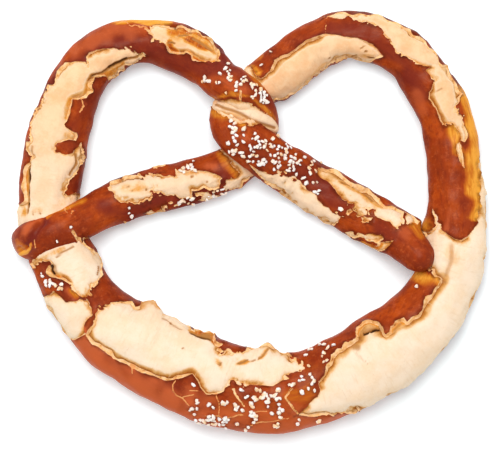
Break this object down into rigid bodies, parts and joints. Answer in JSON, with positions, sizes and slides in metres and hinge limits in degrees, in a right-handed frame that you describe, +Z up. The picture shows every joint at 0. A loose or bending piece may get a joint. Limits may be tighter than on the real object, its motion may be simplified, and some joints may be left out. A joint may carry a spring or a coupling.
{
  "type": "soft pretzel",
  "caption": "Soft lye pretzel: one rope of dough looped and crossed in a knot, its ends laid on the thick belly, with a burst, browned crust and coarse salt.",
  "frame": {"origin": "on the table, under the middle of the pretzel's bounding box", "axes": "+X across the two loops, towards the right loop; +Y away from the belly, towards the top of the two loops; +Z up from the flat baked underside"},
  "size_m": [0.1711, 0.1522, 0.024],
  "materials": {
    "lye_crust": "browned, slightly glossy baked crust"
  },
  "bodies": {
    "root": {"pretzel": "lye_crust"}
  },
  "joints": []
}
